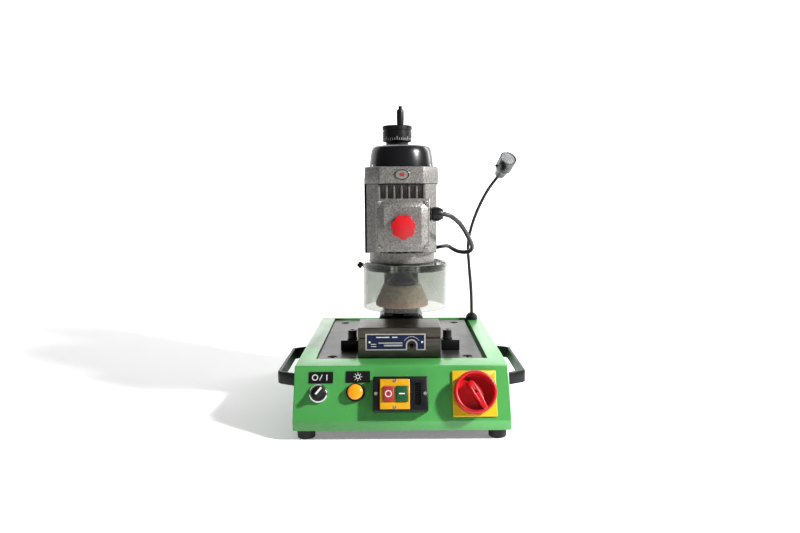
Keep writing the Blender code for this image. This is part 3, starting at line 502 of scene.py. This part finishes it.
skin("terminal_box", "carriage", SILVER, 0.5)
skin("terminal_cover", "carriage", SILVER, 0.5)
COVER = spot(2.95, 19.8, 302.5, TURN_X)
for sx in (-1, 1):
    for sy in (-1, 1):
        screw = cut(disc(f"cover_screw_{sx}_{sy}", 2.8, -0.2, 1.6, 32, 0.4),
                    box("slot", (-3, -0.4, 1.0), (3, 0.4, 2)))
        where = COVER @ Matrix.Translation(Vector((34 * sx, 33 * sy, 0)) * MM)
        fit(screw, "carriage", PALE_METAL, where)
lobes = []
for i in range(210):
    a = 2 * math.pi * i / 210
    reach = 15.0 + 2.8 * abs(math.cos(3.5 * (a + math.pi / 2))) ** 0.7
    lobes.append((reach * math.cos(a), reach * math.sin(a)))
star = slab("shown_star_knob", lobes, 0.3, 12, 1.6, 4)
cut(star, disc("star_stem", 3.9, -14, 4, 48), operation="UNION")
STAR = spot(3.7, 14.3, 301, TURN_X)
fit(star, "star", RED, STAR, "star_knob")
GLAND = spot(42.0, 36, 318, TURN_RIGHT)
gland = turned("shown_cable_gland", [(4.1, -10), (7.9, -10), (7.9, -1.2), (10.6, -1.2), (10.6, 2), (9, 2.6),
                                     (9, 4), (10.0, 5), (10.0, 14.5), (7, 20), (4.1, 20)], 64, 0.3)
fit(gland, "carriage", BLACK, GLAND, "cable_gland")
for i in range(18):
    rib = box(f"gland_rib_{i}", (-0.6, 9.7, 5.6), (0.6, 10.4, 14.2), 0.25, 1)
    fit(rib, "carriage", BLACK, GLAND @ Matrix.Rotation(2 * math.pi * i / 18, 4, "Z"))

# ---------------------------------------------------------------- wheel and guard
z0, z1 = 171.0, 204.0
wheel = turned("shown_grinding_wheel", [(24.6, z0), (40.6, z0), (41.6, z0 + 1), (41.0, z0 + 8), (29.4, z1),
                                        (11.3, z1), (11.3, z1 - 13), (20.6, z1 - 13)], 128, 0.5)
fit(wheel, "spindle", CREAM, MOTOR, "grinding_wheel")
rim = turned("wheel_rim", [(40.4, z0 + 0.1), (41.7, z0 + 1), (41.1, z0 + 8), (40.3, z0 + 10.2),
                           (39.7, z0 + 8)], 128, 0.0)
fit(rim, "spindle", PINK, MOTOR)
hub = turned("shown_wheel_hub", [(7.2, 190), (11, 190), (11, z1 + 0.2), (23, z1 + 0.2), (23, z1 + 6),
                                 (15, z1 + 12), (15, 226), (7.2, 226)], 96, 0.5)
fit(hub, "spindle", BLACK_OXIDE, MOTOR, "wheel_hub")
nut = turned("shown_wheel_nut", [(0, 177), (8, 177), (18.5, 180), (18.5, 189.6), (0, 189.6)], 64, 0.4)
fit(nut, "spindle", BLACK_OXIDE, MOTOR, "wheel_nut")
collar = turned("shown_guard_collar", [(16, 229), (63.1, 229), (63.1, 239.7), (16, 239.7)], 128, 0.4)
fit(collar, "carriage", CLEAR, GUARD, "guard_collar")
g, z0, z1 = 66.5, 169.0, 240.0
guard = turned("shown_guard_cylinder", [(g - 3, z0), (g, z0), (g, z1 - 6.5), (g + 1.8, z1 - 6), (g + 1.8, z1),
                                        (g - 3, z1)], 160, 0.4)
fit(guard, "guard", CLEAR, GUARD, "guard_cylinder")
THUMB = spot(6.5 - g, 112, z1 - 5, TURN_LEFT)
thumb = turned("shown_guard_screw", [(0, -2.9), (2.5, -2.9), (2.5, 2.1), (4.6, 2.1), (5.0, 2.6), (5.0, 6.4),
                                     (4.4, 7.4), (2.4, 7.8), (2.2, 9.4), (0, 9.4)], 48, 0.3)
fit(thumb, "guard_thumbscrew", BLACK, THUMB, "guard_screw")
for i in range(24):
    rib = box(f"thumb_rib_{i}", (-0.25, 4.7, 2.9), (0.25, 5.2, 6.2), 0.1, 1)
    where = THUMB @ Matrix.Rotation(math.pi * i / 12, 4, "Z")
    fit(rib, "guard_thumbscrew", BLACK, where)

# ---------------------------------------------------------------- control panel
SELECTOR_AT = (-118.9, 40.4)
SELECTOR = on_panel(*SELECTOR_AT)
ring = turned("shown_selector_bezel", [(6.3, -20), (10.8, -20), (10.8, 0.3), (13.2, 0.3), (13.2, 4),
                                       (11.5, 5.6), (10, 5.6), (10, 3), (6.3, 3)], 96, 0.4)
fit(ring, "base", CHROME, SELECTOR, "selector_bezel")
knob = turned("shown_selector_knob", [(0, -22), (6, -22), (6, 3.4), (9.6, 3.4), (9.6, 8), (9, 9), (0, 9)],
              96, 0.4)
cut(knob, box("bar", (-3.2, -9.2, 4), (3.2, 9.2, 17), 1.2, 3), operation="UNION")
SELECTOR_KNOB = on_panel(*SELECTOR_AT, 0, -40)
fit(knob, "selector", BLACK, SELECTOR_KNOB, "selector_knob")
mark = box("selector_mark", (-1.4, -4.0, 16.6), (1.4, 8.4, 17.3), 0.1, 1)
fit(mark, "selector", WHITE, SELECTOR_KNOB)

AMBER_AT = on_panel(-66.1, 39.1)
ring = turned("shown_button_bezel", [(6.3, -20), (10.8, -20), (10.8, 0.3), (13.2, 0.3), (13.2, 4), (12.2, 5),
                                     (11.2, 5), (11.2, 1.5), (6.3, 1.5)], 96, 0.4)
fit(ring, "base", BLACK, AMBER_AT, "button_bezel")
lens = turned("shown_amber_button", [(0, -18), (6, -18), (6, 6), (10.8, 6), (10.8, 9), (9.8, 10.5),
                                     (8.2, 11.3), (6, 11.8), (3, 12.2), (0, 12.3)], 96, 0.4)
fit(lens, "amber", AMBER, AMBER_AT, "amber_button")

POWER_TAG, LAMP_TAG = (-116.1, 17.2), (-62.9, 16.4)      # across and down the panel
SIGN_LIFT = 1.05                                         # signs sit on their tag's face
for tag, (across, down) in (("power", POWER_TAG), ("lamp", LAMP_TAG)):
    plate = slab("tag_plate_" + tag, rounded(35, 16.5, 1.2), 0.02, 1.1, 0.3)
    fit(plate, "base", BLACK, on_panel(across, down))
POWER = on_panel(*POWER_TAG, SIGN_LIFT)
fit(turned("power_sign_off", [(3.2, 0), (4.4, 0), (4.4, 0.2), (3.2, 0.2)], 48, 0.0), "base", WHITE,
    POWER @ Matrix.Translation((-0.0085, 0, 0)))
fit(box("power_sign_slash", (-0.5, -4.6, 0), (0.5, 4.6, 0.2)), "base", WHITE,
    POWER @ Matrix.Rotation(math.radians(-24), 4, "Z"))
fit(box("power_sign_on", (-0.65, -4.2, 0), (0.65, 4.2, 0.2)), "base", WHITE,
    POWER @ Matrix.Translation((0.0085, 0, 0)))
LAMP_SIGN = on_panel(*LAMP_TAG, SIGN_LIFT)
fit(turned("lamp_sign_bulb", [(2.2, 0), (3.2, 0), (3.2, 0.2), (2.2, 0.2)], 48, 0.0), "base", WHITE, LAMP_SIGN)
for i in range(8):
    ray = box(f"lamp_sign_ray_{i}", (4.2, -0.35, 0), (6.2, 0.35, 0.2))
    fit(ray, "base", WHITE, LAMP_SIGN @ Matrix.Rotation(math.pi * i / 4, 4, "Z"))

FRAME_DOWN = 43.9
skin("switch_box", "base", BLACK, 0.4)
skin("switch_frame", "base", YELLOW, 0.3)
skin("red_button", "stop_key", RED_KEY, 0.4)
skin("green_button", "start_key", GREEN_KEY, 0.4)
ring = turned("stop_sign", [(3.6, 22.45), (4.8, 22.45), (4.8, 22.65), (3.6, 22.65)], 48, 0.0)
fit(ring, "stop_key", WHITE, on_panel(-18.6, FRAME_DOWN))
bar = box("start_sign", (-4.2, -0.8, 22.45), (4.2, 0.8, 22.65))
fit(bar, "start_key", WHITE, on_panel(0.2, FRAME_DOWN))
for i, x in enumerate((-36.6, 32.9)):
    screw = cut(disc(f"switch_screw_{i}", 2.4, 16.6, 17.6, 32, 0.3),
                box("slot", (-3, -0.35, 17.2), (3, 0.35, 18)))
    fit(screw, "base", PALE_METAL, on_panel(x, 43.0, 0, 35))
for i, down in enumerate((FRAME_DOWN - 18.6, FRAME_DOWN + 18.6)):
    screw = cut(disc(f"frame_screw_{i}", 2.3, 19.4, 20.6, 32, 0.3),
                box("slot", (-3, -0.35, 20.1), (3, 0.35, 21)))
    fit(screw, "base", PALE_METAL, on_panel(-9.7, down, 0, 60))
for i in range(9):
    rib = box(f"switch_rib_{i}", (-3.6, -0.6, 14.2), (3.6, 0.6, 16.2), 0.2, 1)
    fit(rib, "base", BLACK, on_panel(22.5, 31 + 3 * i))

skin("isolator_plate", "base", YELLOW_PLATE, 0.4)
k = 30.2
knob = turned("shown_isolator_knob", [(0, -16), (6.2, -16), (6.2, 3.7), (k - 2, 3.7), (k, 5.5), (k, 20),
                                      (k - 1.5, 22), (k - 4.5, 22), (k - 6.3, 10), (0, 10)], 128, 0.6)
grip = [(-16.5, -2.6), (-13, -4.6), (4, -5.2), (k - 3, -3.2),
        (k - 3, 3.2), (4, 5.2), (-13, 4.6), (-16.5, 2.6)]
cut(knob, slab("grip", grip, 8, 23.5, 1.2, 3), operation="UNION")
padlock = disc("padlock", 2.8, -5, 14, 32)
padlock.matrix_world = Matrix.Translation((-0.021, 0.0005, 0))
cut(knob, padlock, disc("hole", 2.1, 16, 30, 32))
ISOLATOR = on_panel(103.8, 41.2, 0, -61)
fit(knob, "isolator", RED, ISOLATOR, "isolator_knob")

# ---------------------------------------------------------------- mains inlet
skin("power_inlet", "base", BLACK, 0.3)
for i, (x, z) in enumerate([(-101, 53), (-95, 57), (-89, 53)]):
    pin = box(f"inlet_pin_{i}", (x - 1, 354, z - 2), (x + 1, 368, z + 2), 0.3, 1)
    fit(pin, "base", PALE_METAL, spot(0, 0, 0))

# ---------------------------------------------------------------- lamp
base = turned("shown_lamp_base", [(3.6, 88), (4.7, 88), (4.7, 101.3), (11, 101.3), (11, 108), (9, 110.5),
                                  (6, 114), (3.6, 114)], 64, 0.5)
fit(base, "base", BLACK_COAT, spot(137, 345, 0), "lamp_base")
NECK_ROUTE = [
    (137, 345, 105), (137, 345, 119), (135.7, 345, 158), (131.5, 345, 207), (129.4, 345, 236),
    (130.4, 345, 255), (134, 345, 274.6), (142.4, 345, 301.3), (151.8, 345, 323.2), (163, 345, 345),
    (173, 343.5, 360.5), (180.2, 340, 370.5), (184.8, 334.5, 377.3), NECK_END,
]


def ribbed_tube(name, points, radius, depth, sides=20):
    """A tube whose surface rises and falls along its length, like wound strip."""
    bm = bmesh.new()
    rings, up = [], Vector((0, 1, 0))
    for i, p in enumerate(points):
        ahead = (points[min(i + 1, len(points) - 1)] - points[max(i - 1, 0)]).normalized()
        side = ahead.cross(up).normalized()
        over = side.cross(ahead)
        reach = radius - (depth if i % 2 else 0.0)
        rings.append([bm.verts.new((at(*p) + (side * math.cos(a) + over * math.sin(a)) * reach * MM))
                      for a in [2 * math.pi * j / sides for j in range(sides)]])
    for one, two in zip(rings, rings[1:]):
        for j in range(sides):
            q = (j + 1) % sides
            bm.faces.new((one[j], one[q], two[q], two[j]))
    bm.faces.new(rings[0][::-1])
    bm.faces.new(rings[-1])
    return finish_mesh(name, bm, 80)


neck = ribbed_tube("shown_gooseneck", smooth_route(NECK_ROUTE, 1.1), 3.2, 0.35)
fit(neck, "lamp_neck", NECK, None, "gooseneck")
side = arc(5.5, -80, 80, 16)
ball = turned("shown_neck_ball", [(0, -5.5), *side, (0, 5.5)], 48, 0.0)
fit(ball, "lamp_neck", NECK, spot(*NECK_END))
L, R = 42.0, 15.5
lamp = turned("shown_lamp_head", [(7.9, -5), (9, -5), (10, -3), (11.5, 8), (R - 1, 14), (R, 16), (R, L),
                                  (R - 1.6, L), (R - 1.6, L - 12), (0, L - 12), (0, 7), (5.9, 7), (5.9, 0)],
              96, 0.4)
ON_HEAD = Matrix.Translation((0, 0, 0.021)) @ TURN_LEFT     # where the switch sits on the head
switch_hole = disc("hole", 2.4, 9.5, 20, 32)
switch_hole.matrix_world = ON_HEAD
cut(lamp, switch_hole)
fit(lamp, "lamp", GUNMETAL, HEAD, "lamp_head")
ring = turned("lamp_ring", [(R - 1.6, L - 11), (R - 0.2, L - 0.2), (R - 0.2, L), (R - 1.9, L - 0.2)], 96, 0.0)
fit(ring, "lamp", CHROME, HEAD)
lens = turned("shown_lamp_lens", [(0, L - 5), (R - 2, L - 5), (R - 2, L - 2), (R - 4, L - 1), (0, L - 0.4)],
              64, 0.2)
fit(lens, "lamp", LENS, HEAD, "lamp_lens")
for i in range(7):
    turn = Matrix.Rotation(math.pi * i / 3, 4, "Z") @ Matrix.Translation((0.0075 if i < 6 else 0, 0, 0))
    cup = turned(f"lamp_led_{i}", [(0, L - 11.5), (3.2, L - 11.5), (2.2, L - 6.5), (0, L - 5.8)], 32, 0.2)
    fit(cup, "lamp", LENS, HEAD @ turn)
key = disc("shown_lamp_switch", 2.1, 11.5, 18.5, 32, 0.4)
fit(key, "lamp_key", BLACK, HEAD @ ON_HEAD, "lamp_switch")


# ---------------------------------------------------------------- studio
def sheet(name, corners, look):
    mesh = bpy.data.meshes.new(name)
    mesh.from_pydata(corners, [], [(0, 1, 2, 3)])
    made = bpy.data.objects.new(name, mesh)
    bpy.context.scene.collection.objects.link(made)
    mesh.materials.append(look)


PAPER = shade("floor", (0.93, 0.93, 0.93), 0.8, vary=0.01, scale=3, bump=0.0, Emission_Color=(1, 1, 1, 1),
              Emission_Strength=0.22)
WALL = shade("wall", (0.95, 0.95, 0.95), 0.9, vary=0.01, scale=3, bump=0.0, Emission_Color=(1, 1, 1, 1),
             Emission_Strength=1.0)
sheet("floor", [(-6, -4, 0), (6, -4, 0), (6, 1.8, 0), (-6, 1.8, 0)], PAPER)
sheet("wall", [(-6, 1.8, 0), (6, 1.8, 0), (6, 1.8, 4), (-6, 1.8, 4)], WALL)

world = bpy.data.worlds.new("studio")
bpy.context.scene.world = world
world.use_nodes = True
world.node_tree.nodes["Background"].inputs["Color"].default_value = (1.0, 1.0, 1.0, 1)
world.node_tree.nodes["Background"].inputs["Strength"].default_value = 0.14


def light(name, place, target, size, power):
    data = bpy.data.lights.new(name, "AREA")
    data.shape = "RECTANGLE"
    data.size, data.size_y = size
    data.energy = power
    made = bpy.data.objects.new(name, data)
    bpy.context.scene.collection.objects.link(made)
    facing = (Vector(place) - Vector(target)).to_track_quat("Z", "Y").to_matrix().to_4x4()
    made.matrix_world = Matrix.Translation(place) @ facing


light("key", (1.20, -0.72, 1.05), (0.0, 0.0, 0.2), (0.13, 0.13), 49)
light("rim", (1.3, 0.9, 1.0), (0.0, 0.0, 0.25), (0.3, 0.9), 10)
